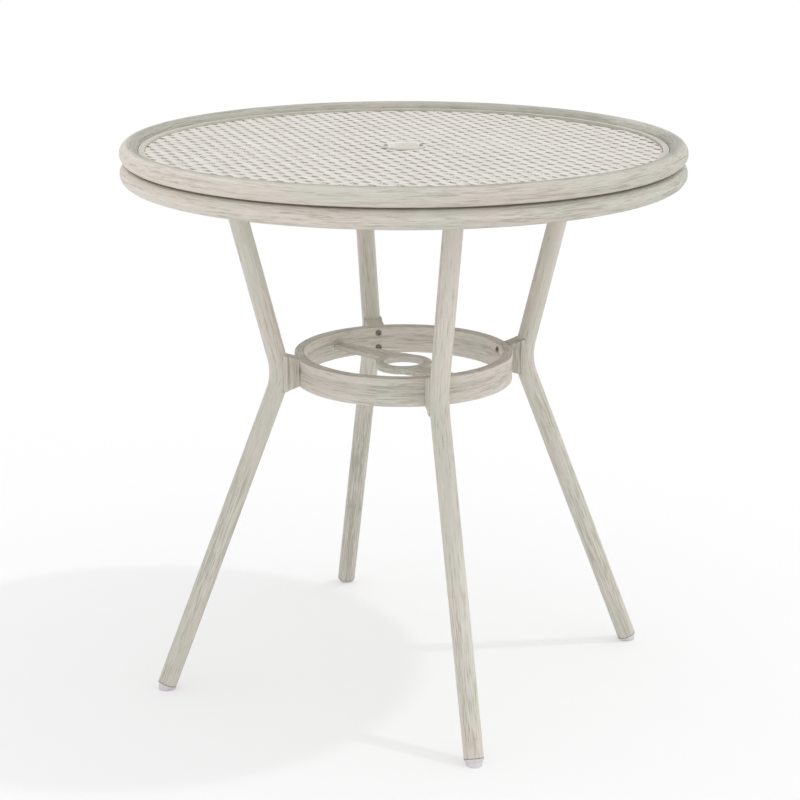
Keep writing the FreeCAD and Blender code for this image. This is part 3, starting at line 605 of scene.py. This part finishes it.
def finish_weave(obj, name, material):
    """Turns a layer of strips to its bearing, finishes it and ties it to the frame."""
    obj.rotation_euler = (0.0, 0.0, WEAVE_TURN)
    settle(obj, name)
    obj.data.materials.clear()
    obj.data.materials.append(material)
    bpy.ops.object.shade_smooth_by_angle(angle=math.radians(40.0))
    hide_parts("woven_top_panel")
    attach(obj, "root")


strands = lay_strips(
    model_strand(), STRAND_PITCH, FIRST_STRAND, True, STRAND_LEVEL, dips_at
)
strand_resin = strip_finish(
    "strand_resin", STRAND_PITCH, FIRST_STRAND, True,
    colour(224, 220, 213), colour(212, 207, 199), 5.0, True,
)
for name, odd in (("weave_strands_a", 0), ("weave_strands_b", 1)):
    woven = join_all([strip for number, strip in strands if number % 2 == odd])
    finish_weave(woven, name, strand_resin)

stakes = lay_strips(
    model_stake(), STAKE_PITCH, FIRST_STAKE, False, STAKE_LEVEL, lambda number: 0.0
)
# The stakes are given a darker tone than the strands: painted shade for the pits where they show.
stake_resin = strip_finish(
    "stake_resin", STAKE_PITCH, FIRST_STAKE, False,
    colour(203, 198, 189), colour(187, 181, 170), 11.0,
)
finish_weave(join_all([strip for number, strip in stakes]), "weave_stakes", stake_resin)


# Moulded pieces: the pale liner of the pole hole, with painted light inside its bore and
# a mark of painted shade at each side of its lip, and the pale glides in the feet.
SHADE_MARK_BEARING = math.radians(-15.0)
SHADE_MARK_START = (0.0175, 0.0205)
SHADE_MARK_END = (0.0270, 0.0262)
SHADE_MARK_SIDE = (0.0120, 0.0090)
SHADE_MARK_FOOT = (0.7430, 0.7470)
BORE_EDGE = (0.0252, 0.0242)
BORE_PAINTED_LIGHT = colour(240, 237, 231)


def moulded(name, base, deep, seed, shade_marked=False):
    """Moulded plastic, faintly clouded and grained; the liner also gets painted light in its bore
    and painted shade marks on its lip.
    """
    material, shader, (x, y, z) = new_finish(name)
    cloud = x.noise(x * 60.0, y * 60.0, z * 60.0, seed, 3.0)
    grain = x.noise(x * 1500.0, y * 1500.0, z * 1500.0, seed, 2.0)
    tone = cloud.rise(0.3, 0.75).blend(base, deep)
    if shade_marked:
        along = x * math.cos(SHADE_MARK_BEARING) + y * math.sin(SHADE_MARK_BEARING)
        across = y * math.cos(SHADE_MARK_BEARING) - x * math.sin(SHADE_MARK_BEARING)
        reach = (x * x + y * y).root()
        # The bore is painted lighter: painted light where it lies in shade.
        tone = reach.rise(*BORE_EDGE).blend(tone, BORE_PAINTED_LIGHT)
        # A mark of painted shade at each side of the lip.
        shade_mark = along.size().rise(*SHADE_MARK_START) * across.size().rise(*SHADE_MARK_SIDE)
        shade_mark = shade_mark * z.rise(*SHADE_MARK_FOOT) * reach.rise(*SHADE_MARK_END)
        tone = tone.tint(1.0 - shade_mark * 0.6)
    feed(shader, "Base Color", tone)
    feed(shader, "Roughness", 0.42 + grain * 0.2)
    bump = grain.node("Bump", {}, {"Strength": 0.2, "Distance": 0.0001, "Height": grain})
    feed(shader, "Normal", bump)
    return material


dress("pole_hole_sleeve", moulded(
    "liner_plastic", colour(216, 212, 205), colour(204, 199, 191), 2.0, True
))
glide_plastic = moulded("glide_plastic", colour(221, 216, 220), colour(205, 200, 204), 8.0)
for place in range(1, 5):
    dress("foot_glide_%d" % place, glide_plastic)


# Fasteners: blackened button-head screws in the ring, and zinc-plated screws, bolts and
# threaded inserts out of sight under the top.
def plated(name, base, deep, marks, seed, roughness, metallic):
    """Metal with a faint spangle of so many marks to the metre."""
    material, shader, (x, y, z) = new_finish(name)
    spangle = x.noise(x * marks, y * marks, z * marks, seed, 2.0)
    feed(shader, "Base Color", spangle.rise(0.3, 0.7).blend(base, deep))
    feed(shader, "Roughness", spangle * 0.2 + roughness)
    shader.inputs["Metallic"].default_value = metallic
    return material


zinc = plated(
    "zinc_plate", colour(214, 212, 206), colour(190, 187, 180), 400.0, 0.0, 0.28, 0.85
)
for group in ("panel_screws", "leg_plate_bolts", "rivet_nuts"):
    dress(group, zinc)
dress("ring_screws", plated(
    "blackened_steel", colour(156, 151, 142), colour(94, 90, 82), 300.0, 4.0, 0.38, 0.4
))


# The studio: a white floor, light from all round that is stronger from above and from
# the right, and a small key lamp high on the right. To the camera the floor glows by a
# part, so that it turns to plain white further out and keeps the shadow near the table.
FLOOR_SPAN = 60.0
FAR_FLOOR = (1.2, 4.5)
NEAR_GLOW = 0.35
PHOTO_TURN = math.radians(-15.396)

bpy.ops.mesh.primitive_plane_add(size=FLOOR_SPAN, location=(0.0, 0.0, 0.0))
floor = bpy.context.object
floor.name = "studio_floor"
floor_paint, floor_shader, (x, y, z) = new_finish("floor_white")
floor_shader.inputs["Base Color"].default_value = (0.93, 0.93, 0.935, 1.0)
floor_shader.inputs["Roughness"].default_value = 0.9
floor_shader.inputs["Specular IOR Level"].default_value = 0.0
tree = floor_paint.node_tree
seen = source(tree, "LightPath", "Is Camera Ray")
far = (x * x + y * y).root().rise(*FAR_FLOOR)
glow = x.node("Emission", {}, {"Color": (1.0, 1.0, 1.0, 1.0), "Strength": 1.0})
lit = Wire(tree, floor_shader.outputs[0])
share = seen * (far * (1.0 - NEAR_GLOW) + NEAR_GLOW)
mixed = seen.node("MixShader", {}, {0: share, 1: lit, 2: glow})
tree.links.new(mixed.socket, tree.nodes["Material Output"].inputs["Surface"])
floor.data.materials.append(floor_paint)

world = bpy.data.worlds.new("studio_light")
bpy.context.scene.world = world
world.use_nodes = True
sky = world.node_tree.nodes["Background"]
sky.inputs["Color"].default_value = (1.0, 1.0, 1.0, 1.0)
x, y, z = source(world.node_tree, "TexCoord", "Generated").parts()
rightward = (x * math.cos(PHOTO_TURN) + y * math.sin(PHOTO_TURN)).most(0.0)
feed(sky, "Strength", z.most(0.0) * 0.15 + rightward * rightward * 0.3 + 0.845)

KEY_RISE = math.radians(63.5)
KEY_BEARING = math.radians(-14.4)
KEY_DISTANCE = 13.2
KEY_POWER = 830.0
KEY_SIZE = 0.3
bpy.ops.object.light_add(type="POINT", location=Vector((
    math.cos(KEY_RISE) * math.cos(KEY_BEARING), math.cos(KEY_RISE) * math.sin(KEY_BEARING),
    math.sin(KEY_RISE),
)) * KEY_DISTANCE)
key = bpy.context.object
key.name = "key_light"
key.data.energy = KEY_POWER
key.data.shadow_soft_size = KEY_SIZE

# The camera stands as it did for the photograph, some 2.8 m off and above the top.
CAMERA_REACH = 2.79417
CAMERA_HEIGHT = 1.19356
CAMERA_PITCH = 0.278196
CAMERA_AIM = math.radians(0.102)
CAMERA_LENS = 93.73
CAMERA_SENSOR = 36.0
bpy.ops.object.camera_add(location=(
    CAMERA_REACH * math.sin(PHOTO_TURN), -CAMERA_REACH * math.cos(PHOTO_TURN), CAMERA_HEIGHT
))
camera = bpy.context.object
camera.name = "photo_camera"
camera.rotation_euler = (math.pi / 2.0 - CAMERA_PITCH, 0.0, PHOTO_TURN + CAMERA_AIM)
camera.data.sensor_width = CAMERA_SENSOR
camera.data.lens = CAMERA_LENS
bpy.context.scene.camera = camera

bpy.context.scene.view_settings.view_transform = "Standard"
